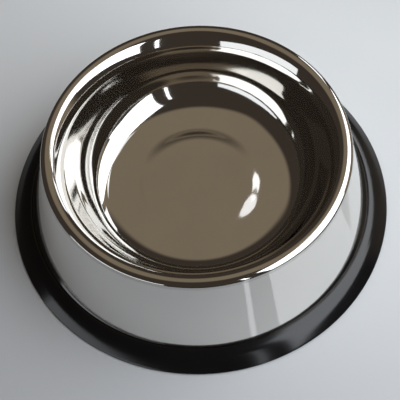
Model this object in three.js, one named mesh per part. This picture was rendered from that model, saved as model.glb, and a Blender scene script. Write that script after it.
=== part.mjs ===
import * as THREE from 'three';

// Pet food bowl. A pressed feeding bowl and a flared outer skirt, both of polished sheet steel, are joined
// by the rim that is rolled over the skirt's top edge. The skirt's foot is turned out into a flange, and a
// rubber ring with a groove grips that flange and carries the bowl on the table.
// Millimetres, +Z up, origin in the middle of the underside.

// Overall sizes
const HEIGHT = 60.5;               // table to the top of the rim
const RIM_DIAMETER = 184;          // outside of the rolled rim
const RING_DIAMETER = 240;         // outside of the rubber ring, the widest part

// Feeding bowl
const BOWL_SHEET = 0.8;            // steel thickness
const RIM_OUTER_ROLL = 4.2;        // radius of the rim's outer half
const RIM_INNER_ROLL = 5.5;        // radius of the rim's inner half
const RIM_LAP = 1.5;               // straight edge of the rim, lying down the skirt
const RIM_LEAN_DEGREES = 38;       // wall's lean from the vertical where the rim's roll begins
const FLARE_RADIUS = 31;           // flare at the top of the wall
const WALL_LEAN_DEGREES = 19;      // lean of the straight part of the wall
const HOLLOW_RADIUS = 46;          // hollow at the foot of the wall
const CORNER_LEAN_DEGREES = 40;    // lean where the corner ends
const CORNER_RADIUS = 19;          // corner between wall and floor
const FLOOR_HEIGHT = 16.1;         // table to the food side of the floor
const FLOOR_BAND = 10.5;           // flat band of the floor, between the corner and the raised disc
const DISC_SLOPE = 10;             // width of the raised disc's sloping edge
const DISC_RISE = 1.2;             // height of the raised disc above the floor

// Outer skirt
const SKIRT_SHEET = 0.8;           // steel thickness
const FOOT_BEND = 2;               // outer bend radius between the cone and the foot flange
const FLANGE_WIDTH = 1.8;          // flat part of the foot flange

// Rubber ring
const RING_SOLE = 1.8;             // rubber under the foot flange
const RING_TREAD = 14;             // width of the underside, from the outside to the opening
const RING_WALL = 7.5;             // rubber outside the foot flange
const RING_LIP = 5.9;              // height of the lip above the foot flange
const RING_CROWN = 28;             // radius of the rounded top
const RING_EDGE = 0.8;             // radius of the rounded outer edge

// Fits and fineness
const SEAT_GAP = 0.3;              // play left between pieces that bear on each other
const SEGMENTS = 60;               // facets round every piece
const DISC_STEPS = 6;
const CORNER_STEPS = 6;
const WALL_STEPS = 4;
const ROLL_STEPS = 5;
const BEND_STEPS = 3;
const CROWN_STEPS = 5;
const EDGE_STEPS = 4;

const QUARTER = Math.PI / 2;

// Places shared by the pieces, as (radius, height) on the section through the axis
const crestRadius = RIM_DIAMETER / 2 - RIM_OUTER_ROLL;
const outerRollCentre = new THREE.Vector2(crestRadius, HEIGHT - RIM_OUTER_ROLL);
const skirtRoll = RIM_OUTER_ROLL - BOWL_SHEET - SEAT_GAP;
const flangeRadius = RING_DIAMETER / 2 - RING_WALL - SEAT_GAP;
const flangeUnderside = RING_SOLE + SEAT_GAP;
const flangeTop = flangeUnderside + SKIRT_SHEET;
const footBendCentre = new THREE.Vector2(flangeRadius - FLANGE_WIDTH, flangeTop + FOOT_BEND);

// Bends of the food side from the floor up to the crest: radius, lean at the start, lean at the end, steps
const rimLean = THREE.MathUtils.degToRad(RIM_LEAN_DEGREES);
const wallLean = THREE.MathUtils.degToRad(WALL_LEAN_DEGREES);
const cornerLean = THREE.MathUtils.degToRad(CORNER_LEAN_DEGREES);
const cornerBend = [CORNER_RADIUS, QUARTER, cornerLean, CORNER_STEPS];
const hollowBend = [HOLLOW_RADIUS, cornerLean, wallLean, WALL_STEPS];
const flareBend = [FLARE_RADIUS, wallLean, rimLean, WALL_STEPS];
const rimBend = [RIM_INNER_ROLL, rimLean, QUARTER, ROLL_STEPS];

// The straight part of the wall, between the hollow and the flare, takes up the height that the bends leave
let wallRise = HEIGHT - FLOOR_HEIGHT;
let floorRadius = crestRadius;
for (const [radius, from, to] of [cornerBend, hollowBend, flareBend, rimBend]) {
  wallRise -= radius * Math.abs(Math.sin(to) - Math.sin(from));
  floorRadius -= radius * Math.abs(Math.cos(to) - Math.cos(from));
}
const wallRun = wallRise * Math.tan(wallLean);
floorRadius -= wallRun;

// The cone is the straight line that touches the skirt's own roll under the rim and the bend at its foot
const coneRun = footBendCentre.x - outerRollCentre.x;
const coneRise = outerRollCentre.y - footBendCentre.y;
const coneTurn = Math.asin((FOOT_BEND + skirtRoll) / Math.hypot(coneRun, coneRise));
const coneLean = Math.atan2(coneRun, coneRise) - coneTurn;

// Points of an arc from one angle to another, both ends included
function arc(centre, radius, from, to, steps) {
  const clockwise = to < from;
  return new THREE.EllipseCurve(centre.x, centre.y, radius, radius, from, to, clockwise).getPoints(steps);
}

// Points of an arc that goes on from a start point while its lean from the vertical changes
function bend(start, radius, from, to, steps) {
  const turn = to > from ? radius : -radius;
  const points = [];
  for (let i = 1; i <= steps; i += 1) {
    const lean = from + (to - from) * i / steps;
    const across = turn * (Math.cos(from) - Math.cos(lean));
    const upward = turn * (Math.sin(lean) - Math.sin(from));
    points.push(new THREE.Vector2(start.x + across, start.y + upward));
  }
  return points;
}

// The same outline moved sideways by a distance, to the right of its direction of travel
function offset(outline, distance) {
  const sides = [];
  for (let i = 1; i < outline.length; i += 1) {
    const along = outline[i].clone().sub(outline[i - 1]).normalize();
    sides.push(new THREE.Vector2(along.y, -along.x));
  }
  return outline.map((point, i) => {
    const before = sides[Math.max(i - 1, 0)];
    const after = sides[Math.min(i, sides.length - 1)];
    const middle = before.clone().add(after).normalize();
    return point.clone().addScaledVector(middle, distance / middle.dot(after));
  });
}

// Section of a sheet of even thickness under a face that runs outwards
function sheetSection(face, thickness) {
  return [...face, ...offset(face, thickness).reverse()];
}

// Solid of revolution, upright on the table, from a section listed clockwise
function turned(name, section, material) {
  const closed = [...section, section[0].clone()].reverse();
  const mesh = new THREE.Mesh(new THREE.LatheGeometry(closed, SEGMENTS), material);
  mesh.name = name;
  mesh.rotation.x = QUARTER;
  return mesh;
}

// Food side of the bowl: raised disc, floor, corner, hollow, wall, flare, rim and the rim's lap
function bowlFace() {
  const discRadius = floorRadius - FLOOR_BAND - DISC_SLOPE;
  const face = [new THREE.Vector2(0, FLOOR_HEIGHT + DISC_RISE)];
  for (let i = 0; i <= DISC_STEPS; i += 1) {
    const share = i / DISC_STEPS;
    const height = DISC_RISE * (1 + Math.cos(share * Math.PI)) / 2;
    face.push(new THREE.Vector2(discRadius + share * DISC_SLOPE, FLOOR_HEIGHT + height));
  }
  face.push(new THREE.Vector2(floorRadius, FLOOR_HEIGHT));
  face.push(...bend(face.at(-1), ...cornerBend));
  face.push(...bend(face.at(-1), ...hollowBend));
  face.push(face.at(-1).clone().add(new THREE.Vector2(wallRun, wallRise)));
  face.push(...bend(face.at(-1), ...flareBend));
  face.push(...bend(face.at(-1), ...rimBend));
  face.push(...arc(outerRollCentre, RIM_OUTER_ROLL, QUARTER, coneLean, ROLL_STEPS).slice(1));
  const downCone = new THREE.Vector2(Math.sin(coneLean), -Math.cos(coneLean));
  face.push(face.at(-1).clone().addScaledVector(downCone, RIM_LAP));
  return face;
}

// Outside of the skirt: top edge tucked under the rim, cone, bend and foot flange
function skirtFace() {
  return [
    ...arc(outerRollCentre, skirtRoll, QUARTER, coneLean, ROLL_STEPS),
    ...arc(footBendCentre, FOOT_BEND, Math.PI + coneLean, 3 * QUARTER, BEND_STEPS),
    new THREE.Vector2(flangeRadius, flangeTop),
  ];
}

// Rubber ring: lip against the cone, rounded top and outer edge, flat underside, groove for the flange.
// The circle of the top passes through the lip and touches the circle of the outer edge from outside it.
function ringSection() {
  const grip = arc(footBendCentre, FOOT_BEND - SEAT_GAP, 3 * QUARTER, Math.PI + coneLean, BEND_STEPS);
  const gripTop = grip.at(-1);
  const lipHeight = flangeTop + RING_LIP;
  const lipRadius = gripTop.x - (lipHeight - gripTop.y) * Math.tan(coneLean);
  const outside = RING_DIAMETER / 2;
  const edgeCentre = new THREE.Vector2(outside - RING_EDGE, RING_EDGE);
  const lip = new THREE.Vector2(lipRadius, lipHeight);
  const lipToEdge = edgeCentre.clone().sub(lip);
  const span = lipToEdge.length();
  const along = (RING_CROWN ** 2 - (RING_CROWN - RING_EDGE) ** 2 + span ** 2) / (2 * span);
  const across = Math.sqrt(RING_CROWN ** 2 - along ** 2);
  const inward = new THREE.Vector2(lipToEdge.y, -lipToEdge.x).divideScalar(span);
  const crownCentre = lip.clone().addScaledVector(lipToEdge, along / span).addScaledVector(inward, across);
  const crownStart = lip.clone().sub(crownCentre).angle();
  const crownEnd = edgeCentre.clone().sub(crownCentre).angle();
  const grooveEnd = flangeRadius + SEAT_GAP;
  return [
    ...arc(crownCentre, RING_CROWN, crownStart, crownEnd, CROWN_STEPS),
    ...arc(edgeCentre, RING_EDGE, crownEnd, -QUARTER, EDGE_STEPS).slice(1),
    new THREE.Vector2(outside - RING_TREAD, 0),
    new THREE.Vector2(outside - RING_TREAD, RING_SOLE),
    new THREE.Vector2(grooveEnd, RING_SOLE),
    new THREE.Vector2(grooveEnd, flangeTop + SEAT_GAP),
    ...grip,
  ];
}

const bowlSteel = new THREE.MeshStandardMaterial({ color: 0xc9c6c0, roughness: 0.08, metalness: 1 });
const skirtSteel = new THREE.MeshStandardMaterial({ color: 0xc6c5c2, roughness: 0.1, metalness: 1 });
const blackRubber = new THREE.MeshStandardMaterial({ color: 0x141416, roughness: 0.75, metalness: 0 });

const petBowl = new THREE.Group();
petBowl.add(
  turned('feeding_bowl', sheetSection(bowlFace(), BOWL_SHEET), bowlSteel),
  turned('outer_skirt', sheetSection(skirtFace(), SKIRT_SHEET), skirtSteel),
  turned('rubber_foot_ring', ringSection(), blackRubber),
);

export default petBowl;
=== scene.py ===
import math

import bpy
import numpy as np
from mathutils import Matrix, Quaternion, Vector


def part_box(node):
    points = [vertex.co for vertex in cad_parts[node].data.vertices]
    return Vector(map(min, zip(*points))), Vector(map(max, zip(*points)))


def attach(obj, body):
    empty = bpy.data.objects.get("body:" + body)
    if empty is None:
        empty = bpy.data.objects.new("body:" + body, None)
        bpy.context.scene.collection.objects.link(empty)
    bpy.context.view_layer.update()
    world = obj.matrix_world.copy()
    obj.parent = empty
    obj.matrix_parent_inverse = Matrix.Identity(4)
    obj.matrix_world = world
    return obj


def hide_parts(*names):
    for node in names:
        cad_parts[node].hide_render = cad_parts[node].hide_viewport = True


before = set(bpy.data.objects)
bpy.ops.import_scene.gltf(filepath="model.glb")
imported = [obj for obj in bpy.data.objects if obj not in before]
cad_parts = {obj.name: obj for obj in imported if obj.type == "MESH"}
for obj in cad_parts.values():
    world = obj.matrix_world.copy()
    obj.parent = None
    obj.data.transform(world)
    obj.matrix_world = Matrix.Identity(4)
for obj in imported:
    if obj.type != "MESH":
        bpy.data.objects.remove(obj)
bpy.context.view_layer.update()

# Pet food bowl: a pressed steel bowl and a flared steel skirt, closed by a rolled rim, on a rubber ring.
# Metres, +Z up, origin in the middle of the underside, as in the frame.

# Overall sizes, from the frame
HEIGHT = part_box("feeding_bowl")[1].z
RIM_RADIUS = 0.092             # outside of the roll; the frame's box also holds its wider lap
RING_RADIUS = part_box("rubber_foot_ring")[1].x

# Feeding bowl
SHEET = 0.0008                 # steel thickness
RIM_OUTER_ROLL = 0.0042        # width of the rim's outer half
RIM_TOP_ROLL = 0.0050          # its radius on top
RIM_SIDE_ROLL = 0.0018         # its tighter radius at the side
RIM_TURN = math.radians(38)    # slope of the rim where the side begins
RIM_INNER_ROLL = 0.0055        # radius of the rim's inner half
RIM_LAP = 0.0015               # straight edge of the rim, lying down the skirt
RIM_LEAN = math.radians(38)    # wall's lean from the vertical where the rim's roll begins
FLARE_RADIUS = 0.031           # flare at the top of the wall
WALL_LEAN = math.radians(19)   # lean of the straight part of the wall
HOLLOW_RADIUS = 0.046          # hollow at the foot of the wall
CORNER_LEAN = math.radians(40)  # lean where the corner ends
CORNER_RADIUS = 0.019          # corner between wall and floor
FLOOR_HEIGHT = 0.0161
FLOOR_BAND = 0.0090            # flat band between the corner and the raised disc
DISC_SLOPE = 0.013             # width of the raised disc's sloping edge, eased at both ends
DISC_RISE = 0.0012

# Outer skirt
FOOT_BEND = 0.002              # bend between the cone and the foot flange
FLANGE_WIDTH = 0.0018

# Rubber ring
RING_SOLE = 0.0018             # rubber under the foot flange
RING_TREAD = 0.014             # width of the underside
RING_WALL = 0.0075             # rubber outside the foot flange
RING_LIP = 0.0059              # height of the lip above the foot flange
RING_TOP_SLOPE = math.radians(16)   # slope below the level, next to the lip
RING_SIDE_SLOPE = math.radians(41)  # steeper slope, next to the outer edge
RING_EASE = 0.95               # place of each curve handle on its slope; 1 is where the slopes meet
RING_EDGE = 0.0008             # radius of the rounded outer edge

SEAT_GAP = 0.0003              # play between pieces that bear on each other

# Fineness: steps round every piece, and points along each stretch of a section
SEGMENTS = 288
DISC_POINTS, SLOPE_POINTS, BAND_POINTS = 14, 24, 8
CORNER_POINTS, HOLLOW_POINTS, WALL_POINTS, FLARE_POINTS = 32, 20, 8, 20
INNER_ROLL_POINTS, TOP_ROLL_POINTS, SIDE_ROLL_POINTS, LAP_POINTS = 24, 18, 14, 4
TUCK_POINTS, CONE_POINTS, FOOT_POINTS, FLANGE_POINTS = 20, 30, 14, 5
GRIP_POINTS, CROWN_POINTS, RING_EDGE_POINTS = 8, 24, 16
SHEET_EDGE_POINTS = 7
UNDERSIDE_STEP = 3             # one point in so many is kept on the hidden side of the bowl

QUARTER = math.pi / 2

# Places on the section through the axis, as (radius, height)
roll_centre = np.array([RIM_RADIUS - RIM_OUTER_ROLL, HEIGHT - RIM_OUTER_ROLL])
skirt_roll = RIM_OUTER_ROLL - SHEET - SEAT_GAP
flange_radius = RING_RADIUS - RING_WALL - SEAT_GAP
flange_top = RING_SOLE + SEAT_GAP + SHEET
foot_centre = np.array([flange_radius - FLANGE_WIDTH, flange_top + FOOT_BEND])

# Bends of the food side, from the floor up to the crest: radius, lean at the start, lean at the end.
# The straight part of the wall, between the hollow and the flare, takes up the height that they leave.
corner_bend = (CORNER_RADIUS, QUARTER, CORNER_LEAN)
hollow_bend = (HOLLOW_RADIUS, CORNER_LEAN, WALL_LEAN)
flare_bend = (FLARE_RADIUS, WALL_LEAN, RIM_LEAN)
rim_bend = (RIM_INNER_ROLL, RIM_LEAN, QUARTER)
food_bends = (corner_bend, hollow_bend, flare_bend, rim_bend)
bends_rise = sum(radius * abs(math.sin(end) - math.sin(start)) for radius, start, end in food_bends)
bends_run = sum(radius * abs(math.cos(end) - math.cos(start)) for radius, start, end in food_bends)
wall_rise = HEIGHT - FLOOR_HEIGHT - bends_rise
wall_run = wall_rise * math.tan(WALL_LEAN)
floor_radius = roll_centre[0] - bends_run - wall_run

# The cone touches the skirt's own roll under the rim and the bend at its foot
cone_run = foot_centre[0] - roll_centre[0]
cone_fall = roll_centre[1] - foot_centre[1]
cone_turn = math.asin((FOOT_BEND + skirt_roll) / math.hypot(cone_run, cone_fall))
CONE_LEAN = math.atan2(cone_run, cone_fall) - cone_turn


def arc(centre, radius, start, end, count):
    """Points of an arc: the centre plus the radius times (cos, sin) of evenly spaced angles."""
    angle = np.linspace(start, end, count)
    return np.asarray(centre) + radius * np.column_stack([np.cos(angle), np.sin(angle)])


def bend(start, radius, lean_start, lean_end, count):
    """Points of an arc that goes on from a point while its lean from the vertical changes."""
    lean = np.linspace(lean_start, lean_end, count)
    turn = math.copysign(radius, lean_end - lean_start)
    across = math.cos(lean_start) - np.cos(lean)
    upward = np.sin(lean) - math.sin(lean_start)
    return np.asarray(start) + turn * np.column_stack([across, upward])


def sideways(outline, distance):
    """The outline moved by a distance to the right of its direction of travel, along its own normals."""
    along = np.gradient(outline, axis=0)
    along /= np.linalg.norm(along, axis=1, keepdims=True)
    return outline + distance * np.column_stack([along[:, 1], -along[:, 0]])


def rounded_edge(face_end, back_end):
    """Half circle over a sheet's cut edge, from the end of its face to the end of its back."""
    centre = (face_end + back_end) / 2
    spoke = face_end - centre
    angle = np.linspace(0, -math.pi, SHEET_EDGE_POINTS)[1:-1, None]
    turned_spoke = np.array([-spoke[1], spoke[0]])
    return centre + spoke * np.cos(angle) + turned_spoke * np.sin(angle)


def disc_height(radius, top_radius):
    """Food side of the floor: falls by half a cosine wave from the raised disc to the floor band."""
    share = np.clip((radius - top_radius) / DISC_SLOPE, 0, 1)
    return FLOOR_HEIGHT + DISC_RISE * (1 + np.cos(math.pi * share)) / 2


def bowl_section():
    """Floor, corner, hollow, wall, flare, rim and lap in one run, and the same run a thickness below."""
    top_radius = floor_radius - FLOOR_BAND - DISC_SLOPE
    radius = np.concatenate([
        np.linspace(0, top_radius, DISC_POINTS)[:-1],
        np.linspace(top_radius, top_radius + DISC_SLOPE, SLOPE_POINTS),
        np.linspace(top_radius + DISC_SLOPE, floor_radius, BAND_POINTS)[1:-1],
    ])
    floor = np.column_stack([radius, disc_height(radius, top_radius)])
    runs = [floor, bend([floor_radius, FLOOR_HEIGHT], *corner_bend, CORNER_POINTS)]
    runs.append(bend(runs[-1][-1], *hollow_bend, HOLLOW_POINTS)[1:])
    runs.append(np.linspace(runs[-1][-1], runs[-1][-1] + [wall_run, wall_rise], WALL_POINTS)[1:])
    runs.append(bend(runs[-1][-1], *flare_bend, FLARE_POINTS)[1:])
    runs.append(bend(runs[-1][-1], *rim_bend, INNER_ROLL_POINTS)[1:])
    top_centre = np.array([roll_centre[0], HEIGHT - RIM_TOP_ROLL])
    runs.append(arc(top_centre, RIM_TOP_ROLL, QUARTER, QUARTER - RIM_TURN, TOP_ROLL_POINTS)[1:])
    side_centre = runs[-1][-1] - RIM_SIDE_ROLL * np.array([math.sin(RIM_TURN), math.cos(RIM_TURN)])
    runs.append(arc(side_centre, RIM_SIDE_ROLL, QUARTER - RIM_TURN, CONE_LEAN, SIDE_ROLL_POINTS)[1:])
    down_cone = np.array([math.sin(CONE_LEAN), -math.cos(CONE_LEAN)])
    runs.append(np.linspace(runs[-1][-1], runs[-1][-1] + RIM_LAP * down_cone, LAP_POINTS)[1:])
    face = np.concatenate(runs)
    back = sideways(face, SHEET)
    back[0, 0] = 0
    edge = rounded_edge(face[-1], back[-1])
    return np.concatenate([face, edge, back[::-UNDERSIDE_STEP], back[:1]])


def skirt_section():
    """Tucked top edge, cone, foot bend and flange in one run, and the same run a thickness inside."""
    tuck = arc(roll_centre, skirt_roll, QUARTER, CONE_LEAN, TUCK_POINTS)
    foot = arc(foot_centre, FOOT_BEND, math.pi + CONE_LEAN, 3 * QUARTER, FOOT_POINTS)
    cone = np.linspace(tuck[-1], foot[0], CONE_POINTS)[1:-1]
    flange = np.linspace(foot[-1], [flange_radius, flange_top], FLANGE_POINTS)[1:]
    face = np.concatenate([tuck, cone, foot, flange])
    back = sideways(face, SHEET)
    foot_edge = rounded_edge(face[-1], back[-1])
    top_edge = rounded_edge(back[0], face[0])
    return np.concatenate([face, foot_edge, back[::-1], top_edge])


def downhill(slope):
    """Direction outwards and down at a slope below the level."""
    return np.array([math.cos(slope), -math.sin(slope)])


def ring_section():
    """Lip against the cone, top, outer edge, flat tread and groove round the flange. The top is a cubic
    Bezier curve along two slopes: a gentle one from the lip and a steeper one into the outer edge."""
    grip = arc(foot_centre, FOOT_BEND - SEAT_GAP, 3 * QUARTER, math.pi + CONE_LEAN, GRIP_POINTS)
    lip_height = flange_top + RING_LIP
    lip = np.array([grip[-1, 0] - (lip_height - grip[-1, 1]) * math.tan(CONE_LEAN), lip_height])
    edge_centre = np.array([RING_RADIUS - RING_EDGE, RING_EDGE])
    edge = arc(edge_centre, RING_EDGE, QUARTER - RING_SIDE_SLOPE, -QUARTER, RING_EDGE_POINTS)
    top_way, side_way = downhill(RING_TOP_SLOPE), downhill(RING_SIDE_SLOPE)
    top_run, side_run = np.linalg.solve(np.column_stack([top_way, side_way]), edge[0] - lip)
    first_hand = lip + RING_EASE * top_run * top_way
    last_hand = edge[0] - RING_EASE * side_run * side_way
    share = np.linspace(0, 1, CROWN_POINTS)[:-1, None]
    rest = 1 - share
    crown = rest ** 3 * lip + 3 * rest ** 2 * share * first_hand
    crown += 3 * rest * share ** 2 * last_hand + share ** 3 * edge[0]
    inner_edge = RING_RADIUS - RING_TREAD
    groove_end = flange_radius + SEAT_GAP
    hidden = np.array([
        [inner_edge, 0],
        [inner_edge, RING_SOLE],
        [groove_end, RING_SOLE],
        [groove_end, flange_top + SEAT_GAP],
    ])
    return np.concatenate([crown, edge, hidden, grip])


def add_mesh(name, points, faces, along):
    """A smooth mesh at the origin that keeps the distance along its section as a point attribute."""
    mesh = bpy.data.meshes.new(name)
    mesh.from_pydata(points.tolist(), [], faces)
    mesh.attributes.new("along", "FLOAT", "POINT").data.foreach_set("value", along.astype(np.float32))
    mesh.polygons.foreach_set("use_smooth", np.ones(len(mesh.polygons), bool))
    mesh.update()
    piece = bpy.data.objects.new(name, mesh)
    bpy.context.scene.collection.objects.link(piece)
    return piece


def turned(name, section):
    """Surface of revolution: each (radius, height) goes round as (radius cos t, radius sin t, height).
    A section that starts and ends on the axis gets a point at each pole; any other is a closed loop."""
    on_axis = section[0, 0] == 0
    rings = section[1:-1] if on_axis else section
    steps = np.linalg.norm(np.diff(section, axis=0), axis=1)
    distance = np.concatenate([[0], np.cumsum(steps)])
    turn = np.arange(SEGMENTS) * (2 * math.pi / SEGMENTS)
    radius, height = rings[:, :1], rings[:, 1:]
    points = np.stack([radius * np.cos(turn), radius * np.sin(turn), height + 0 * turn], axis=-1)
    points = points.reshape(-1, 3)
    along = np.repeat(distance[1:-1] if on_axis else distance, SEGMENTS)
    index = np.arange(len(points)).reshape(len(rings), SEGMENTS)
    if not on_axis:
        index = np.concatenate([index, index[:1]])
    beside = np.roll(index, -1, axis=1)
    quads = np.stack([index[:-1], index[1:], beside[1:], beside[:-1]], axis=-1).reshape(-1, 4)
    faces = quads.tolist()
    if on_axis:
        poles = np.array([[0, 0, section[0, 1]], [0, 0, section[-1, 1]]])
        first, last = len(points), len(points) + 1
        points = np.concatenate([points, poles])
        along = np.concatenate([along, distance[[0, -1]]])
        faces += np.stack([np.full(SEGMENTS, first), index[0], beside[0]], axis=-1).tolist()
        faces += np.stack([np.full(SEGMENTS, last), beside[-1], index[-1]], axis=-1).tolist()
    return add_mesh(name, points, faces, along)


# Finishes
LINES_PER_METRE = 1400
LINE_DETAIL = 3
SMUDGE_SCALE, SMUDGE_DETAIL = 26, 4
WAVE_SCALE, WAVE_DETAIL = 38, 1
WAVE_DEPTH = 0.00006
BOWL_PALE = (0.66, 0.645, 0.62, 1)
BOWL_DEEP = (0.58, 0.565, 0.535, 1)
BOWL_ROUGHNESS = (0.03, 0.08)  # least and most smudged
BOWL_LINE_DEPTH = 0.000003
SKIRT_PALE = (0.77, 0.755, 0.725, 1)
SKIRT_DEEP = (0.71, 0.69, 0.66, 1)
SKIRT_ROUGHNESS = (0.02, 0.06)
SKIRT_LINE_DEPTH = 0.000002
GRAIN_SCALE, GRAIN_DETAIL = 1800, 2
GRAIN_DEPTH = 0.00002
GRAIN_STRENGTH = 0.6
DUST_SCALE, DUST_DETAIL = 45, 5
RUBBER_CLEAN = (0.003, 0.003, 0.004, 1)
RUBBER_DUSTY = (0.007, 0.007, 0.008, 1)
RUBBER_ROUGHNESS = (0.12, 0.18)  # least and most dusty


def add_node(tree, kind, inputs=None, **settings):
    """A shader node; each input is a value for its socket or an output socket to link from."""
    made = tree.nodes.new(kind)
    for key, value in settings.items():
        setattr(made, key, value)
    for key, value in (inputs or {}).items():
        if isinstance(value, bpy.types.NodeSocket):
            tree.links.new(value, made.inputs[key])
        else:
            made.inputs[key].default_value = value
    return made


def new_material(name):
    """A material with its node tree and its main shader."""
    material = bpy.data.materials.new(name)
    material.use_nodes = True
    return material, material.node_tree, material.node_tree.nodes["Principled BSDF"]


def between(tree, amount, low, high):
    """A number that goes from low to high as the amount goes from 0 to 1."""
    scaled = add_node(tree, "ShaderNodeMapRange", {"Value": amount, "To Min": low, "To Max": high})
    return scaled.outputs[0]


def smooth_step(tree, amount, start, end):
    """A number that rises smoothly from 0 to 1 while the amount goes from start to end."""
    step = add_node(tree, "ShaderNodeMapRange", {"Value": amount, "From Min": start, "From Max": end},
                    interpolation_type="SMOOTHSTEP")
    return step.outputs[0]


def blend(tree, share, low, high):
    """A colour that goes from low to high as the share goes from 0 to 1."""
    mix = add_node(tree, "ShaderNodeMix", {"Factor": share, "A": low, "B": high}, data_type="RGBA")
    return mix.outputs["Result"]


def noise(tree, place, scale, detail):
    """Soft noise between 0 and 1."""
    made = add_node(tree, "ShaderNodeTexNoise", {"Vector": place, "Scale": scale, "Detail": detail})
    return made.outputs[0]


def number_math(tree, operation, first, second):
    """The result of an operation on two numbers."""
    return add_node(tree, "ShaderNodeMath", {0: first, 1: second}, operation=operation).outputs[0]


def vector_math(tree, operation, first, second=(0, 0, 0), output="Vector"):
    """The result of an operation on one or two vectors."""
    made = add_node(tree, "ShaderNodeVectorMath", {0: first, 1: second}, operation=operation)
    return made.outputs[output]


def polished_steel(name, pale, deep, roughness, line_depth):
    """Mirror-polished steel: fine lines that run round the axis, faint smudges and a slow wave of the
    sheet. The lines are noise that changes fast along the section and slowly with the bearing."""
    material, tree, shader = new_material(name)
    place = add_node(tree, "ShaderNodeTexCoord").outputs["Object"]
    along = add_node(tree, "ShaderNodeAttribute", attribute_name="along").outputs["Fac"]
    spoke = vector_math(tree, "NORMALIZE", vector_math(tree, "MULTIPLY", place, (1, 1, 0)))
    lift = number_math(tree, "MULTIPLY", along, LINES_PER_METRE)
    up = add_node(tree, "ShaderNodeCombineXYZ", {"Z": lift}).outputs[0]
    lines = noise(tree, vector_math(tree, "ADD", spoke, up), 1, LINE_DETAIL)
    smudge = noise(tree, place, SMUDGE_SCALE, SMUDGE_DETAIL)
    wave = noise(tree, place, WAVE_SCALE, WAVE_DETAIL)
    tree.links.new(blend(tree, smudge, deep, pale), shader.inputs["Base Color"])
    tree.links.new(between(tree, smudge, *roughness), shader.inputs["Roughness"])
    waviness = add_node(tree, "ShaderNodeBump", {"Height": wave, "Distance": WAVE_DEPTH, "Strength": 1})
    relief = add_node(tree, "ShaderNodeBump", {
        "Height": lines, "Distance": line_depth, "Strength": 1, "Normal": waviness.outputs[0]})
    tree.links.new(relief.outputs[0], shader.inputs["Normal"])
    shader.inputs["Metallic"].default_value = 1
    return material


def black_rubber():
    """Smooth black rubber: a fine moulded grain and a thin film of dust that dulls its sheen."""
    material, tree, shader = new_material("black_rubber")
    place = add_node(tree, "ShaderNodeTexCoord").outputs["Object"]
    grain = noise(tree, place, GRAIN_SCALE, GRAIN_DETAIL)
    dust = noise(tree, place, DUST_SCALE, DUST_DETAIL)
    tree.links.new(blend(tree, dust, RUBBER_CLEAN, RUBBER_DUSTY), shader.inputs["Base Color"])
    tree.links.new(between(tree, dust, *RUBBER_ROUGHNESS), shader.inputs["Roughness"])
    relief = add_node(tree, "ShaderNodeBump", {
        "Height": grain, "Distance": GRAIN_DEPTH, "Strength": GRAIN_STRENGTH})
    tree.links.new(relief.outputs[0], shader.inputs["Normal"])
    return material


# Pieces
bowl_steel = polished_steel("bowl_steel", BOWL_PALE, BOWL_DEEP, BOWL_ROUGHNESS, BOWL_LINE_DEPTH)
skirt_steel = polished_steel("skirt_steel", SKIRT_PALE, SKIRT_DEEP, SKIRT_ROUGHNESS, SKIRT_LINE_DEPTH)
rubber = black_rubber()
for piece_name, section, node_name, slot_name, material in (
    ("bowl_pressing", bowl_section(), "feeding_bowl", "bowl_steel", bowl_steel),
    ("skirt_pressing", skirt_section(), "outer_skirt", "skirt_steel", skirt_steel),
    ("ring_moulding", ring_section(), "rubber_foot_ring", "black_rubber", rubber),
):
    piece = turned(piece_name, section)
    piece.data.materials.append(material)
    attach(piece, "root")
    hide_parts(node_name)

# Table: a pale square board with painted light and shade on a dark table top, both drawn on one sheet
TABLE_HALF = 4.0
TABLE_DARK = (0.02, 0.018, 0.016, 1)
BOARD_CENTRE = (-0.03, 0.03, 0)
BOARD_HALF = 0.235             # half the side of the square
# painted light and shade on the board: its colour at the lit back right and at the shaded front left
BOARD_PAINTED_LIGHT = (0.95, 0.985, 1.0, 1)
BOARD_PAINTED_SHADE = (0.545, 0.56, 0.585, 1)
PAINTED_LIGHT_WAY = (0.5, 0.87, 0)    # direction in which the painted light on the board grows
PAINTED_LIGHT_REACH = 0.17              # how far from the middle the painted light and shade go on changing, each way
CLOUD_SCALE, CLOUD_DETAIL = 6, 3
CLOUD_SHARE = 0.06
MIRRORED_ROUGHNESS, SEEN_ROUGHNESS = 0.05, 0.5


def pale_table():
    """Pale board with painted light and shade: paler towards the back right, darker towards the front
    left, and faintly cloudy; and the dark table round it. Mirrored in the steel they are glossier than
    the camera sees them."""
    material, tree, shader = new_material("pale_table")
    place = add_node(tree, "ShaderNodeTexCoord").outputs["Object"]
    cloud = noise(tree, place, CLOUD_SCALE, CLOUD_DETAIL)
    slant = vector_math(tree, "DOT_PRODUCT", place, PAINTED_LIGHT_WAY, "Value")
    # painted light: the board pales towards the back right and darkens towards the front left as painted
    # shade, mixed below with a little real cloudiness
    painted_light = add_node(tree, "ShaderNodeMapRange", {
        "Value": slant, "From Min": -PAINTED_LIGHT_REACH, "From Max": PAINTED_LIGHT_REACH}).outputs[0]
    light_and_cloud = add_node(tree, "ShaderNodeMix", {"Factor": CLOUD_SHARE, "A": painted_light, "B": cloud})
    board = blend(tree, light_and_cloud.outputs["Result"], BOARD_PAINTED_SHADE, BOARD_PAINTED_LIGHT)
    across = vector_math(tree, "ABSOLUTE", vector_math(tree, "SUBTRACT", place, BOARD_CENTRE))
    axes = add_node(tree, "ShaderNodeSeparateXYZ", {0: across}).outputs
    reach = number_math(tree, "MAXIMUM", axes[0], axes[1])
    beyond = number_math(tree, "GREATER_THAN", reach, BOARD_HALF)
    tree.links.new(blend(tree, beyond, board, TABLE_DARK), shader.inputs["Base Color"])
    direct = add_node(tree, "ShaderNodeLightPath").outputs["Is Camera Ray"]
    roughness = between(tree, direct, MIRRORED_ROUGHNESS, SEEN_ROUGHNESS)
    tree.links.new(roughness, shader.inputs["Roughness"])
    return material


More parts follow.
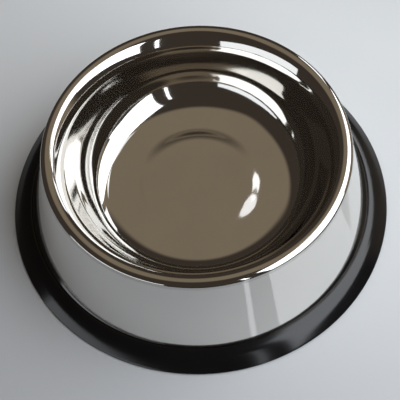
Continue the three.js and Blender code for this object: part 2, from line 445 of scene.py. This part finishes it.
table_mesh = bpy.data.meshes.new("table")
corners = TABLE_HALF * np.array([[-1, -1, 0], [1, -1, 0], [1, 1, 0], [-1, 1, 0]])
table_mesh.from_pydata(corners.tolist(), [], [(0, 1, 2, 3)])
table = bpy.data.objects.new("table", table_mesh)
table.data.materials.append(pale_table())
bpy.context.scene.collection.objects.link(table)

# Light: window panes on the right, one of them leaning over the bowl, a low one on the left and a narrow
# one in front
LAMP_POWER = math.pi           # watts per square metre that give a lamp's face a brightness of 1
DAYLIGHT = (0.90, 0.945, 1.0)
PANE_DISTANCE = 0.4            # from the bowl's axis to the window on the right


def window(name, centre, facing, width, height, brightness, turn=0):
    """A rectangular lamp that looks in the facing direction, turned about it."""
    lamp = bpy.data.lights.new(name, "AREA")
    lamp.shape = "RECTANGLE"
    lamp.size = width
    lamp.size_y = height
    lamp.energy = brightness * width * height * LAMP_POWER
    lamp.color = DAYLIGHT
    holder = bpy.data.objects.new(name, lamp)
    holder.location = centre
    aim = Vector(facing).to_track_quat("-Z", "Y") @ Quaternion((0, 0, 1), turn)
    holder.rotation_euler = aim.to_euler()
    holder.visible_camera = False
    bpy.context.scene.collection.objects.link(holder)


def side_pane(name, front, back, height, brightness):
    """A pane in the plane of the right-hand window, above a sill between two places given as (y, z)."""
    sill = np.subtract(back, front)
    width = math.hypot(*sill)
    upward = np.array([-sill[1], sill[0]]) / width
    middle = (np.add(front, back) + height * upward) / 2
    turn = math.atan2(sill[1], sill[0])
    window(name, (PANE_DISTANCE, *middle), (-1, 0, 0), width, height, brightness, turn)


def leaning_pane(name, low, high, near, far, brightness):
    """A pane that leans over the bowl from a low edge to a high one, each given as (x, z)."""
    edge = np.subtract(high, low)
    middle = np.add(low, high) / 2
    centre = (middle[0], (near + far) / 2, middle[1])
    window(name, centre, (-edge[1], 0, edge[0]), far - near, math.hypot(*edge), brightness)


side_pane("front_pane", front=(-0.571, 0.205), back=(0.0, 0.185), height=0.94, brightness=3.2)
side_pane("main_pane", front=(0.0, 0.25), back=(0.446, 0.235), height=0.87, brightness=3.2)
side_pane("end_pane", front=(0.512, 0.18), back=(0.752, 0.16), height=0.28, brightness=2.0)
side_pane("far_pane", front=(0.51, 0.83), back=(0.64, 0.82), height=0.28, brightness=1.6)
leaning_pane("upper_pane", low=(0.4, 1.07), high=(0.3, 1.19), near=0.28, far=0.5, brightness=1.2)
window("left_pane", centre=(-0.933, -0.755, 0.28), facing=(0.777, 0.629, 0),
       width=1.3, height=0.36, brightness=1.5)
window("front_slit", centre=(0.375, -0.927, 0.63), facing=(-0.375, 0.927, 0),
       width=0.05, height=0.73, brightness=3.0)

# Room: its brown starts overhead, ends low at the back and stops short of the left side
ROOM_DARK = (0.054, 0.043, 0.034, 1)
ROOM_BROWN = (0.26, 0.21, 0.15, 1)
BROWN_OVERHEAD = (-0.12, 0.12)  # backward share of the direction, from none to all of the brown
BROWN_LOW = (0.8, 0.62)        # backward share, from none to all
BROWN_LEFT = (-0.5, -0.28)     # rightward share, from none to all


def room():
    """Warm brown high at the back, dark elsewhere: smooth steps of the direction's backward and rightward
    shares."""
    world = bpy.data.worlds.new("room")
    world.use_nodes = True
    tree = world.node_tree
    direction = add_node(tree, "ShaderNodeTexCoord").outputs["Generated"]
    axes = add_node(tree, "ShaderNodeSeparateXYZ", {0: direction}).outputs
    overhead = smooth_step(tree, axes[1], *BROWN_OVERHEAD)
    above_low = smooth_step(tree, axes[1], *BROWN_LOW)
    off_left = smooth_step(tree, axes[0], *BROWN_LEFT)
    back = number_math(tree, "MULTIPLY", overhead, above_low)
    share = number_math(tree, "MULTIPLY", back, off_left)
    colour = blend(tree, share, ROOM_DARK, ROOM_BROWN)
    tree.links.new(colour, tree.nodes["Background"].inputs["Color"])
    return world


bpy.context.scene.world = room()

# Camera: place, tilt below the horizon and turn about its own line of sight
CAMERA_PLACE = (0, -0.2619, 0.4494)
CAMERA_PITCH = math.radians(60.16)
CAMERA_ROLL = math.radians(-4.3)
CAMERA_LENS = 72               # mm, on the usual 36 mm frame

camera = bpy.data.objects.new("camera", bpy.data.cameras.new("camera"))
camera.data.lens = CAMERA_LENS
tilt = Matrix.Rotation(QUARTER - CAMERA_PITCH, 4, "X")
camera.matrix_world = Matrix.Translation(CAMERA_PLACE) @ tilt @ Matrix.Rotation(CAMERA_ROLL, 4, "Z")
bpy.context.scene.collection.objects.link(camera)
bpy.context.scene.camera = camera
bpy.context.scene.view_settings.view_transform = "Standard"
